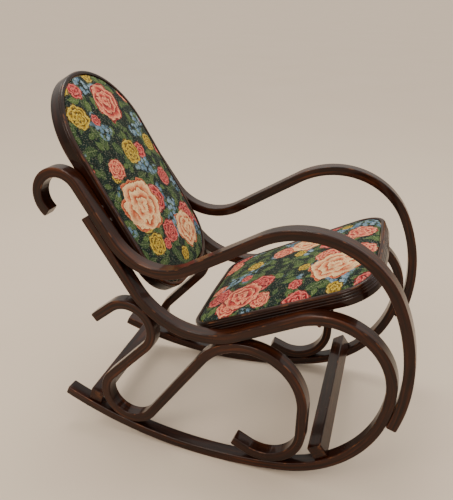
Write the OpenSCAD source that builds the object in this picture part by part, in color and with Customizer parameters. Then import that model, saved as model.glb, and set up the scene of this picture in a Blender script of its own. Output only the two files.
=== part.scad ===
// Bentwood rocking chair: two laminated side frames, each of an arm, a runner frame and a scroll,
// joined by two stretchers and a seat bearer, with a padded back panel and a padded seat between them.
// Millimetres. +X is the front, +Z is up. The floor is Z = 0 and X = 0 is midway along the side frames.
// A side frame is drawn flat, as length u from its rear end and height h, then stood up and toed out.

/* [Overall] */
// Length of a side frame, which the arm's front curve settles to within a few millimetres
frame_length = 932; // [900:2:1130]
// Height of the arm over its crest
arm_height = 685; // [570:5:825]
// Height of the hook behind the shoulder
hook_height = 757; // [700:5:900]
// Height of the seat rail over its crest
rail_height = 490; // [450:5:560]
// Width over both frames, measured at the hooks
rear_width = 424; // [350:2:520]
// Angle by which each side frame turns outward to the front
toe_out = 4; // [0:0.5:6]

/* [Bent strips] */
// Thickness of a laminated strip
strip_t = 25; // [20:0.5:30]
// Width of a laminated strip
strip_w = 36; // [30:1:44]
// Eased corner of a strip
strip_ease = 2; // [1:0.5:4]
// Glue line between two members
glue_gap = 0.3; // [0.1:0.1:0.5]

/* [Arm] */
// Bend of the hook, to the middle of the strip
hook_r = 60; // [45:1:75]
// Direction in which the strip leaves the tip of the hook
hook_tip = 141; // [120:1:180]
// Distance from the rear end to the dip behind the arm rest
arm_dip_u = 329; // [320:1:350]
// Height of the arm's upper face at the dip
arm_dip_height = 534; // [500:1:560]
// Bend of the dip
arm_dip_r = 147; // [120:1:175]
// Distance of the arm's crest behind the length above
arm_crest_back = 246; // [222:1:282]
// Bend of the crest
arm_crest_r = 215; // [180:1:250]
// Bend of the long front curve
arm_front_r = 440; // [370:5:520]
// Direction of the strip at the arm's lower end
arm_end = -108; // [-118:1:-100]

/* [Runner frame] */
// Distance down the hook's slope to the top of the strut
strut_drop = 74; // [40:1:90]
// Distance from the rear end to the dip of the seat rail
rail_dip_u = 432; // [420:1:460]
// Height of the rail's upper face at the dip
rail_dip_height = 380; // [350:1:410]
// Distance of the rail's crest behind the same length
rail_crest_back = 194; // [182:1:212]
// Bend of the rail's crest
rail_crest_r = 153; // [128:1:175]
// Bend of the runner, to the middle of the strip
runner_r = 1040; // [870:5:1250]
// Distance back from the front end to the point on which the chair balances
balance_back = 484; // [470:1:517]
// Length of the runner in front of the balance point, up to the front curve
runner_front = 198.2; // [165:0.1:260]
// Length of the runner behind the balance point, to its tail
runner_tail = 424.4; // [360:0.1:440]

/* [Scroll] */
// Bend of the curl under the strut
curl_r = 68; // [56:1:82]
// Direction from the dip's centre to the curl
curl_at = 228.5; // [226:0.5:232]
// Straight end of the curl
curl_tail = 66; // [40:1:80]
// Direction of the curl's straight end
curl_start = 39; // [30:1:50]
// Bend of the cradle on the runner
cradle_r = 74; // [62:1:80]
// Direction from the runner's centre to the cradle
cradle_at = -103.7; // [-104.5:0.1:-102.5]
// Upper bend of the loop
loop_top_r = 143; // [130:1:150]
// Direction from the dip's centre to the loop
loop_top_at = -71.5; // [-74:0.5:-69]
// Lower bend of the loop
loop_foot_r = 97; // [85:1:110]
// Direction from the runner's centre to the loop's foot
loop_foot_at = -80.7; // [-81.5:0.1:-80]
// Direction of the strip where the loop's tail becomes straight
loop_end = -205; // [-215:1:-195]
// Straight end of the loop
loop_tail = 40; // [20:1:50]

/* [Cross members] */
// Side of a square stretcher
stretcher = 38; // [32:1:44]
// How far a stretcher ends inside the outer face of the runner
stretcher_inset = 7; // [4:1:12]
// Distance along the runner from the scroll's bend to the near face of the rear stretcher
rear_stretcher_gap = 84.5; // [84:0.5:90]
// Direction from the front curve's centre to the front stretcher
front_stretcher_at = -56.5; // [-60:0.5:-50]
// Width of the bearer under the front of the seat
bearer_w = 30; // [24:1:36]
// Thickness of the bearer
bearer_t = 16; // [12:1:20]
// Distance of the bearer in front of the middle of the seat rail's straight
bearer_front = 128; // [110:1:140]

/* [Seat] */
// Angle of the seat, front up
seat_tilt = 25; // [20:0.5:28]
// Height of the seat frame's middle over the middle of the seat rail
seat_lift = 14; // [10:0.5:18]
// Length of the seat frame behind the middle of the rail's straight
seat_back_len = 212; // [195:1:225]
// Length of the seat frame in front of the middle of the rail's straight
seat_front_len = 268; // [250:1:290]
// Gap between seat frame and seat rail
seat_gap = 5; // [4:0.5:8]
// Corner radius at the rear of the seat
seat_rear_r = 62; // [50:1:75]
// Corner radius at the front of the seat
seat_front_r = 84; // [70:1:95]
// Bow of the front edge
seat_front_bow = 9; // [5:1:14]
// Bow of the rear edge
seat_rear_bow = 5; // [2:1:8]

/* [Back] */
// Angle of the back panel from upright
back_lean = 30; // [26:0.5:32]
// Distance from the rear end to the panel's front face, at the height below
back_u = 174; // [170:1:180]
// Height at which that distance holds
back_ref_height = 700; // [690:1:710]
// Length of the panel above that height
back_up = 285; // [240:1:342]
// Length of the panel below that height
back_down = 314; // [262:1:330]
// Width of the panel
back_width = 364; // [304:2:366]
// Corner radius at the panel's lower end
back_foot_r = 112; // [95:1:130]
// Bow of the panel's lower edge
back_foot_bow = 8; // [3:1:14]

/* [Panels] */
// Depth of the seat and back frames
panel_depth = 38; // [34:1:42]
// Width of those frames under the rebate
panel_rail_w = 24; // [20:1:28]
// Width of the lip round the upholstery
panel_lip_w = 11; // [9:1:13]
// Depth of the rebate under the lip
rebate = 12; // [10:1:14]
// Width and depth of the lines cut round the frames
line_cut = 1.6; // [1:0.2:2]
// Thickness of the plywood boards
board_t = 5; // [4:0.5:6]
// Thickness of the cover fabric
cover_t = 1.5; // [1:0.25:2]
// Crown of the seat upholstery over the lip
seat_crown = 22; // [15:1:28]
// Crown of the back upholstery over the lip
back_crown = 16; // [10:1:22]
// Thickness of the lining cloths
lining_t = 1.5; // [1:0.25:2]
// Margin of the lining cloths inside the frame's edge
lining_margin = 7; // [5:1:9]
// Clearance round a soft or loose piece
soft_gap = 0.3; // [0.2:0.1:0.5]

/* [Screws] */
// Radius of a screw's shank
screw_r = 2; // [1.5:0.25:2.5]
// Radius of a screw's head
head_r = 4.5; // [4:0.25:5]
// Height of a screw's head
head_h = 3; // [2.5:0.25:3.5]
// Clearance round a screw
screw_gap = 0.15; // [0.1:0.05:0.25]
// Depth of a screw's point in the second member
screw_bite = 17; // [12:1:18]
// Radius of a spacer sleeve
spacer_r = 6; // [5:0.5:6.5]
// Depth of the wooden plug over a screw that crosses the chair
plug_h = 5; // [3:0.5:7]

/* [Hidden] */
$fn = 180;
lap = 0.1;        // overlap where two runs of a strip meet
hair = 0.04;      // step between two runs of a strip, so that their faces never coincide
over = 1;         // how far a cut runs past the face it opens
long = 1000;      // longer than any cut it makes

walnut = "#4a2a1b";
tapestry = "#2d4a3c";
steel = "#9a958a";
ply = "#b08a5c";
cloth = "#2b2724";
foam = "#e0d6b8";

// ---- formers: [u, h, bend radius, turn], turn +1 to the left and -1 to the right ----
half_t = strip_t / 2;
side_by_side = strip_t + glue_gap;   // two strips against each other, middle to middle

function dir(a) = [cos(a), sin(a)];
function mid(f) = [f[0], f[1]];
function bearing(d) = atan2(d.y, d.x);
// direction of the straight run from former a to former b
function run(a, b) = let (d = mid(b) - mid(a))
    bearing(d) - asin(max(-1, min(1, (b[3] * b[2] - a[3] * a[2]) / norm(d))));
// point on former f where the strip has direction a
function on(f, a) = mid(f) - f[3] * f[2] * [-sin(a), cos(a)];
// angle turned on former f between two directions
function turned(f, a, b) = let (s = (f[3] * (b - a)) % 360) s < 0 ? s + 360 : s;
// the meeting point, on the side of -u, of circles round p and q
function meet(p, rp, q, rq) = let (d = norm(q - p), a = (d * d + rp * rp - rq * rq) / (2 * d),
    k = sqrt(rp * rp - a * a), e = (q - p) / d) p + a * e + k * (e.y < 0 ? [e.y, -e.x] : [-e.y, e.x]);

hook = [hook_r + half_t, hook_height - hook_r - half_t, hook_r, -1];
arm_dip = [arm_dip_u, arm_dip_height - half_t + arm_dip_r, arm_dip_r, 1];
arm_crest = [frame_length - arm_crest_back, arm_height - arm_crest_r - half_t, arm_crest_r, -1];
rail_crest = [frame_length - rail_crest_back, rail_height - rail_crest_r - half_t, rail_crest_r, -1];

// the strut runs down under the arm's slope and turns into the rail's dip
slope = run(hook, arm_dip);
slope_up = [-sin(slope), cos(slope)];
slope_top = on(hook, slope);
strut_line = slope_top - side_by_side * slope_up;
rail_dip_low = rail_dip_height - half_t;
rail_dip_r = ((rail_dip_u - strut_line.x) * slope_up.x + (rail_dip_low - strut_line.y) * slope_up.y)
    / (1 - slope_up.y);
rail_dip = [rail_dip_u, rail_dip_low + rail_dip_r, rail_dip_r, 1];
strut_start = strut_line + strut_drop * dir(slope);
runner = [frame_length - balance_back, runner_r + half_t, runner_r, -1];
runner_front_slope = asin(runner_front / runner_r);
runner_tail_slope = asin(runner_tail / runner_r);
// the front curve is the arc that follows on from both the rail's crest and the runner
sweep_dir = dir(runner_front_slope - 90);
sweep_to = mid(runner) + runner_r * sweep_dir - mid(rail_crest);
sweep_r = (sweep_to * sweep_to - rail_crest_r * rail_crest_r) / (2 * (sweep_to * sweep_dir - rail_crest_r));
sweep_mid = mid(runner) + (runner_r - sweep_r) * sweep_dir;
sweep = [sweep_mid.x, sweep_mid.y, sweep_r, -1];
// the arm's front curve follows on from its crest and lies against the frame's front curve
arm_front_mid = meet(mid(arm_crest), arm_front_r - arm_crest_r,
                     sweep_mid, arm_front_r - sweep_r - side_by_side);
arm_front = [arm_front_mid.x, arm_front_mid.y, arm_front_r, -1];
arm_touch = bearing(sweep_mid - arm_front_mid);

// the scroll's bends rest against the rail's dip from below and on the runner from above
function under_dip(r, a) = mid(rail_dip) + (rail_dip_r + side_by_side + r) * dir(a);
function on_runner(r, a) = mid(runner) + (runner_r - side_by_side - r) * dir(a);
function former(m, r, turn) = [m.x, m.y, r, turn];
curl = former(under_dip(curl_r, curl_at), curl_r, -1);
cradle = former(on_runner(cradle_r, cradle_at), cradle_r, 1);
loop_top = former(under_dip(loop_top_r, loop_top_at), loop_top_r, -1);
loop_foot = former(on_runner(loop_foot_r, loop_foot_at), loop_foot_r, -1);
// the rear stretcher stands behind the bend that the scroll makes on the runner
rear_stretcher_at = cradle_at - (rear_stretcher_gap + stretcher / 2) / runner_r * 180 / PI;

arm_formers = [hook, arm_dip, arm_crest, arm_front];
frame_formers = [rail_dip, rail_crest, sweep, runner];
scroll_formers = [curl, cradle, loop_top, loop_foot];

// ---- places in the chair ----
front_u = arm_front.x + arm_front_r + half_t;         // foremost point of the arm, near frame_length
mid_u = front_u / 2;
mid_y = rear_width / 2 - strip_w / 2;                 // middle of a strip at u = 0
function chair_x(u) = (u - mid_u) * cos(toe_out);
function chair_y(u) = mid_y + u * sin(toe_out);       // middle of a strip
inner_y0 = mid_y - strip_w / 2 / cos(toe_out) + mid_u * tan(toe_out) * cos(toe_out);   // inner face at X = 0
function inner_y(x) = inner_y0 + x * tan(toe_out);

rail_run = run(rail_dip, rail_crest);
rail_mid = (on(rail_dip, rail_run) + on(rail_crest, rail_run)) / 2;

// ---- strip section and strips ----
// rectangle of half sizes x and y with eased corners
module eased(x, y) {
    e = strip_ease;
    polygon([[-x + e, -y], [x - e, -y], [x, -y + e], [x, y - e],
             [x - e, y], [-x + e, y], [-x, y - e], [-x, -y + e]]);
}

// a strip's section, smaller all round by so many hairs
module section(hairs) { eased(half_t - hairs * hair, strip_w / 2 - hairs * hair); }

// a straight run of length len from point p in direction a
module straight(p, a, len) {
    translate([p.x, p.y, 0]) rotate(a) rotate([90, 0, 90]) translate([0, 0, -lap])
        linear_extrude(len + 2 * lap) section(2);
}

// the part of former f between directions a and b
module bend(f, a, b, hairs) {
    s = turned(f, a, b);
    first = f[3] > 0 ? a - 90 : a + 90 - s;
    extra = lap / f[2] * 180 / PI;
    if (s > 0.05 && s < 359)
        translate([f[0], f[1], 0]) rotate(first - extra) rotate_extrude(angle = s + 2 * extra)
            translate([f[2], 0]) section(hairs);
}

// a strip bent round its formers, from direction start to direction end, with straight ends
module bent_strip(formers, start, end, lead = 0, tail = 0) {
    last = len(formers) - 1;
    a = [start, for (i = [1:last]) run(formers[i - 1], formers[i]), end];
    for (i = [0:last]) bend(formers[i], a[i], a[i + 1], i % 2);
    for (i = [1:last]) {
        p = on(formers[i - 1], a[i]);
        span = norm(on(formers[i], a[i]) - p);
        if (span > 0.5) straight(p, a[i], span);
    }
    if (lead > 0) straight(on(formers[0], start) - lead * dir(start), start, lead);
    if (tail > 0) straight(on(formers[last], end), end, tail);
}

// stands a flat side frame up on its side of the chair, left for side = 1 and right for side = -1
module stand(side) {
    mirror([0, side < 0 ? 1 : 0, 0]) translate([-mid_u * cos(toe_out), mid_y, 0])
        rotate([0, 0, toe_out]) rotate([90, 0, 0]) children();
}

// ---- screws ----
// a screw from its seat at the origin along +Z: the head lies below the seat, grip is its first member
module screw(grip) {
    translate([0, 0, -head_h]) cylinder(r = head_r, h = head_h);
    translate([0, 0, -lap]) cylinder(r = screw_r, h = grip + glue_gap + screw_bite + lap);
}

module screw_bore(grip) {
    translate([0, 0, -head_h - plug_h - over]) cylinder(r = head_r + screw_gap, h = head_h + plug_h + over);
    translate([0, 0, -lap]) cylinder(r = screw_r + screw_gap, h = grip + glue_gap + screw_bite + screw_play);
}

// in a flat side frame: children at point p, with their +Z in direction a
module aimed(p, a) {
    translate([p.x, p.y, 0]) rotate(a) rotate([0, 90, 0]) children();
}

screw_play = 1;               // room beyond a screw's point
grip = strip_t - head_h;      // wood under a recessed head
strut_screw_at = [strut_drop + 18, strut_drop + 58];   // down the slope from the hook
back_screw_at = [75, 112];                             // down the slope from the hook
stretcher_half = stretcher / 2;

module at_strut_screws() {
    for (d = strut_screw_at)
        aimed(strut_line + d * dir(slope) - (half_t - head_h) * slope_up, slope + 90) children();
}
module at_arm_front_screw() {
    aimed(sweep_mid + (sweep_r - half_t + head_h) * dir(arm_touch), arm_touch) children();
}
module at_curl_screw() {
    aimed(mid(curl) + (curl_r - half_t + head_h) * dir(curl_at + 180), curl_at + 180) children();
}
module at_loop_screw() {
    aimed(mid(loop_top) + (loop_top_r - half_t + head_h) * dir(loop_top_at + 180), loop_top_at + 180)
        children();
}
module at_foot_screws() {
    aimed(mid(cradle) + (cradle_r - half_t + head_h) * dir(cradle_at), cradle_at) children();
    aimed(mid(loop_foot) + (loop_foot_r - half_t + head_h) * dir(loop_foot_at), loop_foot_at) children();
}
module at_stretcher_screws() {
    aimed(mid(runner) + (runner_r + half_t - head_h) * dir(rear_stretcher_at), rear_stretcher_at + 180)
        children();
    aimed(mid(sweep) + (sweep_r + half_t - head_h) * dir(front_stretcher_at), front_stretcher_at + 180)
        children();
}

// screws that cross the chair: children at a place in the side frame, +Z towards the middle of the chair
module across(p, side) {
    mirror([0, side < 0 ? 1 : 0, 0])
        translate([chair_x(p.x), chair_y(p.x) + strip_w / 2 - plug_h - head_h, p.y])
            rotate([90, 0, 0]) children();
}
toe_play = 1;                 // a crossing screw's extra length, as the frames stand at an angle to it
cross_grip = strip_w - plug_h - head_h + seat_gap + toe_play;   // the rest of the strip, and a spacer
back_gap = inner_y(chair_x(slope_top.x)) - back_width / 2;   // beside the back, at the top of the slope
back_more = max(0, back_gap - seat_gap);   // what the back's screws and sleeves bridge besides
back_grip = cross_grip + back_more;
back_fix_lift = 4;            // back screws over the middle of the arm's slope
seat_fix_slope = 10;
seat_fix_ahead = 45;
seat_fix_rear = on(rail_dip, seat_fix_slope);                 // just in front of the rail's dip
seat_fix_front = rail_mid + seat_fix_ahead * dir(rail_run);   // on the rail's straight
bearer_drop = panel_depth / 2 + lining_t + glue_gap + bearer_t / 2 - seat_lift;
bearer_fix = rail_mid + bearer_front * dir(seat_tilt) + bearer_drop * [sin(seat_tilt), -cos(seat_tilt)];
function back_fix(d) = slope_top + d * dir(slope) + back_fix_lift * slope_up;

module at_back_screws(side) {
    for (d = back_screw_at) across(back_fix(d), side) children();
}
module at_seat_screws(side) {
    for (p = [seat_fix_rear, seat_fix_front]) across(p, side) children();
}
module at_bearer_screws(side) {
    across(bearer_fix, side) children();
}

// ---- side frames ----
module arm(side) {
    color(walnut) difference() {
        stand(side) difference() {
            bent_strip(arm_formers, hook_tip, arm_end);
            at_strut_screws() screw_bore(grip);
            at_arm_front_screw() screw_bore(grip);
        }
        at_back_screws(side) screw_bore(back_grip);
    }
}
module right_arm() { arm(-1); }
module left_arm() { arm(1); }

module runner_frame(side) {
    color(walnut) difference() {
        stand(side) difference() {
            bent_strip(frame_formers, slope, -180 - runner_tail_slope,
                       lead = norm(on(rail_dip, slope) - strut_start));
            at_strut_screws() screw_bore(grip);
            at_arm_front_screw() screw_bore(grip);
            at_curl_screw() screw_bore(grip);
            at_loop_screw() screw_bore(grip);
            at_foot_screws() screw_bore(grip);
            at_stretcher_screws() screw_bore(grip);
        }
        at_seat_screws(side) screw_bore(cross_grip);
        at_bearer_screws(side) screw_bore(cross_grip);
    }
}
module right_runner_frame() { runner_frame(-1); }
module left_runner_frame() { runner_frame(1); }

module scroll(side) {
    color(walnut) stand(side) difference() {
        bent_strip(scroll_formers, curl_start, loop_end, lead = curl_tail, tail = loop_tail);
        at_curl_screw() screw_bore(grip);
        at_loop_screw() screw_bore(grip);
        at_foot_screws() screw_bore(grip);
    }
}
module right_scroll() { scroll(-1); }
module left_scroll() { scroll(1); }

// ---- cross members ----
// a square bar across the chair, its flat side on the hollow side of a bend, ending inside the outer faces
module stretcher_bar(f, a) {
    hollow_r = f[2] - half_t - glue_gap;
    flat = stretcher_half - strip_ease;
    p = mid(f) + (sqrt(hollow_r * hollow_r - flat * flat) - stretcher_half) * dir(a);
    half_len = chair_y(p.x) + strip_w / 2 - stretcher_inset;
    color(walnut) difference() {
        translate([chair_x(p.x), half_len, p.y]) rotate([90, 0, 0]) rotate(a) linear_extrude(2 * half_len)
            eased(stretcher_half, stretcher_half);
        for (side = [-1, 1]) stand(side) at_stretcher_screws() screw_bore(grip);
    }
}
module rear_stretcher() { stretcher_bar(runner, rear_stretcher_at); }
module front_stretcher() { stretcher_bar(sweep, front_stretcher_at); }

// half-space outside the inner faces of both side frames
module outside_frames() {
    for (side = [-1, 1]) stand(side)
        translate([-long, -long, strip_w / 2 - long]) cube([3 * long, 3 * long, long]);
}

module seat_bearer() {
    x = chair_x(bearer_fix.x);
    color(walnut) difference() {
        translate([x, 0, bearer_fix.y]) rotate([0, -seat_tilt, 0])
            cube([bearer_w, long, bearer_t], center = true);
        outside_frames();
        for (side = [-1, 1]) at_bearer_screws(side) screw_bore(cross_grip);
    }
}

// ---- outlines of the seat and the back, as lists of points ----
// the arc that rounds corner b between a and c, in steps of about 9 degrees
function fillet(a, b, c, r) =
    let (p = (a - b) / norm(a - b), q = (c - b) / norm(c - b), half = acos(p * q) / 2, m = p + q,
         centre = b + r / sin(half) * m / norm(m), first = bearing(b + r / tan(half) * p - centre),
         sweep = 180 - 2 * half, steps = max(2, ceil(sweep / 9)))
    [for (i = [0:steps]) centre + r * dir(first + sweep * i / steps)];
// a shape with rounded corners, from a list of [x, y, radius] to the left round it
function rounded(c) = let (n = len(c)) [for (i = [0:n - 1])
    each fillet(mid(c[(i + n - 1) % n]), mid(c[i]), mid(c[(i + 1) % n]), c[i][2])];

flat_r = 600;                 // radius at the middle of a bowed edge
seat_x = chair_x(rail_mid.x);
function seat_half(x) = inner_y(seat_x + x * cos(seat_tilt)) - seat_gap;
// x runs forward from the middle of the rail's straight, i is the distance inside the frame's outer edge
seat_shape = function (i) let (r = -seat_back_len + i, f = seat_front_len - i) rounded([
    [r, -seat_half(r) + i, seat_rear_r - i], [f, -seat_half(f) + i, seat_front_r - i],
    [f + seat_front_bow, 0, flat_r], [f, seat_half(f) - i, seat_front_r - i],
    [r, seat_half(r) - i, seat_rear_r - i], [r - seat_rear_bow, 0, flat_r]]);
// x runs down the panel from the reference height
back_shape = function (i) let (t = -back_up + i, f = back_down - i, h = back_width / 2 - i) rounded([
    [t, -h, h - 1], [f, -h, back_foot_r - i], [f + back_foot_bow, 0, flat_r],
    [f, h, back_foot_r - i], [t, h, h - 1]]);

// stands a panel in its place; its upper or front face is z = 0
module on_seat() {
    translate([seat_x, 0, rail_mid.y]) rotate([0, -seat_tilt, 0])
        translate([0, 0, seat_lift + panel_depth / 2]) children();
}
module on_back() {
    translate([chair_x(back_u), 0, back_ref_height]) rotate([0, 90 - back_lean, 0]) children();
}

// a slice of a shape between two levels
module slice(shape, i, z0, z1) {
    translate([0, 0, z0]) linear_extrude(z1 - z0) polygon(shape(i));
}

// an open frame with a rebate, eased edges and lines cut round its outer side
module panel_frame(shape, line_at) {
    c = line_cut;
    levels = [-panel_depth + c, for (z = line_at) each [-z - c, -z], -c];
    count = len(levels) / 2;
    difference() {
        union() {
            slice(shape, c, -panel_depth, 0);
            for (k = [0:count - 1]) slice(shape, 0, levels[2 * k], levels[2 * k + 1]);
        }
        slice(shape, panel_rail_w, -panel_depth - over, over);
        slice(shape, panel_lip_w, -rebate, over);
    }
}

module panel_board(shape) { slice(shape, panel_lip_w + soft_gap, -rebate, -rebate + board_t); }

// the upholstery over the board, a crown in three steps of [distance inside its edge, share of its height];
// skin is how far inside the cover's surface it lies
crown_steps = [[0, 0.35], [16, 0.75], [42, 1]];

module crown(shape, height, skin) {
    edge = panel_lip_w + soft_gap + skin;
    for (step = crown_steps) slice(shape, edge + step[0], -rebate + board_t, step[1] * height - skin);
}
module panel_foam(shape, height) { crown(shape, height, cover_t); }
module panel_cover(shape, height) {
    difference() {
        crown(shape, height, 0);
        crown(shape, height, cover_t);
    }
}
module panel_lining(shape) { slice(shape, lining_margin, -panel_depth - lining_t, -panel_depth); }

seat_lines = [21, 14, 7];     // depths of the lines, lowest first
back_lines = [8];

module seat_frame() {
    color(walnut) difference() {
        on_seat() panel_frame(seat_shape, seat_lines);
        for (side = [-1, 1]) at_seat_screws(side) screw_bore(cross_grip);
    }
}
module seat_board() { color(ply) on_seat() panel_board(seat_shape); }
module seat_foam() { color(foam) on_seat() panel_foam(seat_shape, seat_crown); }
module seat_cover() { color(tapestry) on_seat() panel_cover(seat_shape, seat_crown); }
module seat_dust_cover() { color(cloth) on_seat() panel_lining(seat_shape); }

module back_frame() {
    color(walnut) difference() {
        on_back() panel_frame(back_shape, back_lines);
        for (side = [-1, 1]) at_back_screws(side) screw_bore(back_grip);
    }
}
module back_board() { color(ply) on_back() panel_board(back_shape); }
module back_foam() { color(foam) on_back() panel_foam(back_shape, back_crown); }
module back_cover() { color(tapestry) on_back() panel_cover(back_shape, back_crown); }
module back_lining() { color(cloth) on_back() panel_lining(back_shape); }

// ---- spacers, screws and plugs ----
// a sleeve round a crossing screw, from inside a panel's frame to outside the side frame
module sleeve(more = 0) {
    len = 2 * strip_w + more;
    difference() {
        cylinder(r = spacer_r, h = len);
        translate([0, 0, -over]) cylinder(r = screw_r + screw_gap, h = len + 2 * over);
    }
}
module seat_spacers() {
    color(steel) difference() {
        for (side = [-1, 1]) at_seat_screws(side) sleeve();
        outside_frames();
        on_seat() slice(seat_shape, -soft_gap, -panel_depth - spacer_r, spacer_r);
    }
}
module back_spacers() {
    color(steel) difference() {
        for (side = [-1, 1]) at_back_screws(side) sleeve(back_more);
        outside_frames();
        on_back() slice(back_shape, -soft_gap, -panel_depth - spacer_r, spacer_r);
    }
}
module seat_screws() { color(steel) for (side = [-1, 1]) at_seat_screws(side) screw(cross_grip); }
module back_screws() { color(steel) for (side = [-1, 1]) at_back_screws(side) screw(back_grip); }
module bearer_screws() { color(steel) for (side = [-1, 1]) at_bearer_screws(side) screw(cross_grip); }
module plug() { translate([0, 0, -head_h - plug_h]) cylinder(r = head_r, h = plug_h); }
module plugs() {
    color(walnut) for (side = [-1, 1]) {
        at_seat_screws(side) plug();
        at_back_screws(side) plug();
        at_bearer_screws(side) plug();
    }
}
module strut_screws() { color(steel) for (side = [-1, 1]) stand(side) at_strut_screws() screw(grip); }
module arm_front_screws() { color(steel) for (side = [-1, 1]) stand(side) at_arm_front_screw() screw(grip); }
module curl_screws() { color(steel) for (side = [-1, 1]) stand(side) at_curl_screw() screw(grip); }
module loop_screws() { color(steel) for (side = [-1, 1]) stand(side) at_loop_screw() screw(grip); }
module foot_screws() { color(steel) for (side = [-1, 1]) stand(side) at_foot_screws() screw(grip); }
module stretcher_screws() { color(steel) for (side = [-1, 1]) stand(side) at_stretcher_screws() screw(grip); }

right_arm();
left_arm();
right_runner_frame();
left_runner_frame();
right_scroll();
left_scroll();
rear_stretcher();
front_stretcher();
seat_bearer();
seat_frame();
seat_board();
seat_foam();
seat_cover();
seat_dust_cover();
back_frame();
back_board();
back_foam();
back_cover();
back_lining();
seat_spacers();
back_spacers();
seat_screws();
back_screws();
bearer_screws();
plugs();
strut_screws();
arm_front_screws();
curl_screws();
loop_screws();
foot_screws();
stretcher_screws();
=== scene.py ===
"""Looks of a bentwood rocking chair: lacquered strips, a moulded seat frame and padded tapestry panels."""

import logging
import math
from collections.abc import Callable, Sequence
from dataclasses import dataclass
from enum import Enum

import bmesh
import bpy
import numpy as np
from mathutils import Matrix, Vector


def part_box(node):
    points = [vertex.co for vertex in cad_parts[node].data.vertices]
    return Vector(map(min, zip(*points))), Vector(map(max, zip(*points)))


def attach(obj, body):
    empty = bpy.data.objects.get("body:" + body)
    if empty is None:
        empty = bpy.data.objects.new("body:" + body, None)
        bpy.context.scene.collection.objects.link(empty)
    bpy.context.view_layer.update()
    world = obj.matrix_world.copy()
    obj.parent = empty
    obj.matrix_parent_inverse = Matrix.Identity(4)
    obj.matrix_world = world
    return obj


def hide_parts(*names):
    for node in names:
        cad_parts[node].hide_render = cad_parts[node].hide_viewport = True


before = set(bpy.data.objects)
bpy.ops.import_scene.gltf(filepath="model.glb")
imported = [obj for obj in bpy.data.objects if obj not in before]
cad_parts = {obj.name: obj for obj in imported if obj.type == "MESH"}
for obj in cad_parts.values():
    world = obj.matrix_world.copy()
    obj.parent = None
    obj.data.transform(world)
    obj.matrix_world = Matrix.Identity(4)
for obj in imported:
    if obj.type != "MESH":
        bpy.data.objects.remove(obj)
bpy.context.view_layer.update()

MM = 0.001
log = logging.getLogger("rocking_chair")


# ---------------------------------------------------------------- node trees and finishes
class Tree:
    """A thin wrapper that wires shader nodes with one short call each."""

    def __init__(self, tree: bpy.types.NodeTree) -> None:
        """Starts from an empty tree."""
        self.tree = tree
        self.tree.nodes.clear()

    def add(self, kind: str, inputs: dict | None = None, **settings: object) -> bpy.types.Node:
        """Adds a node.

        Args:
            kind: The node's type name without its ShaderNode prefix.
            inputs: Values or sockets for its inputs, by name or number.
            settings: Attributes to set on the node.

        Returns:
            The node.
        """
        node = self.tree.nodes.new(kind if kind.startswith("Node") else "ShaderNode" + kind)
        for name, value in settings.items():
            setattr(node, name, value)
        for key, value in (inputs or {}).items():
            if isinstance(value, bpy.types.NodeSocket):
                self.tree.links.new(value, node.inputs[key])
            else:
                node.inputs[key].default_value = value
        return node

    def math(self, operation: str, *values: object) -> bpy.types.NodeSocket:
        """Adds a Math node on sockets or numbers and returns its result."""
        return self.add("Math", dict(enumerate(values)), operation=operation).outputs[0]

    def vector(self, operation: str, *values: object) -> bpy.types.NodeSocket:
        """Adds a Vector Math node and returns its vector."""
        return self.add("VectorMath", dict(enumerate(values)), operation=operation).outputs[0]

    def mix(self, factor: object, first: object, second: object) -> bpy.types.NodeSocket:
        """Mixes two colours.

        Args:
            factor: The share of the second, from 0 to 1.
            first: The first colour.
            second: The second colour.

        Returns:
            The mixed colour.
        """
        node = self.add("Mix", data_type="RGBA")
        for socket, value in ((0, factor), (6, first), (7, second)):
            if isinstance(value, bpy.types.NodeSocket):
                self.tree.links.new(value, node.inputs[socket])
            else:
                node.inputs[socket].default_value = value
        return node.outputs[2]

    def scaled(self, vector: bpy.types.NodeSocket, *scale: float) -> bpy.types.NodeSocket:
        """Multiplies a vector by three numbers."""
        return self.vector("MULTIPLY", vector, scale)

    def noise(self, vector: bpy.types.NodeSocket, scale: float,
              detail: float = 3.0) -> bpy.types.NodeSocket:
        """Adds a noise texture and returns its value, from 0 to 1."""
        return self.add("TexNoise", {"Vector": vector, "Scale": scale, "Detail": detail}).outputs[0]

    def ramp(self, factor: object, stops: Sequence[tuple[float, tuple]]) -> bpy.types.NodeSocket:
        """Adds a colour ramp.

        Args:
            factor: The value or socket that picks a place on it.
            stops: Its stops, as (place, colour).

        Returns:
            The colour.
        """
        node = self.add("ValToRGB", {0: factor})
        band = node.color_ramp
        while len(band.elements) < len(stops):
            band.elements.new(0.5)
        for element, (place, colour) in zip(band.elements, stops, strict=True):
            element.position = place
            element.color = colour
        return node.outputs[0]

    def step(self, value: object, start: float, end: float) -> bpy.types.NodeSocket:
        """Maps a value smoothly from 0 at start to 1 at end."""
        node = self.add("MapRange", {0: value, 1: start, 2: end}, interpolation_type="SMOOTHSTEP")
        return node.outputs[0]

    def bump(self, height: object, strength: float, distance: float) -> bpy.types.NodeSocket:
        """Adds a bump from a height in units of distance and returns its normal."""
        sockets = {"Height": height, "Strength": strength, "Distance": distance}
        return self.add("Bump", sockets).outputs[0]


def rgb(code: str) -> tuple[float, float, float, float]:
    """Turns a display colour into the linear colour that a shader takes.

    Args:
        code: The display colour, such as 3b1d10.

    Returns:
        Its linear red, green, blue and an alpha of 1.
    """
    values = [int(code[i : i + 2], 16) / 255 for i in (0, 2, 4)]
    linear = [v / 12.92 if v <= 0.04045 else ((v + 0.055) / 1.055) ** 2.4 for v in values]
    return (*linear, 1.0)


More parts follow.
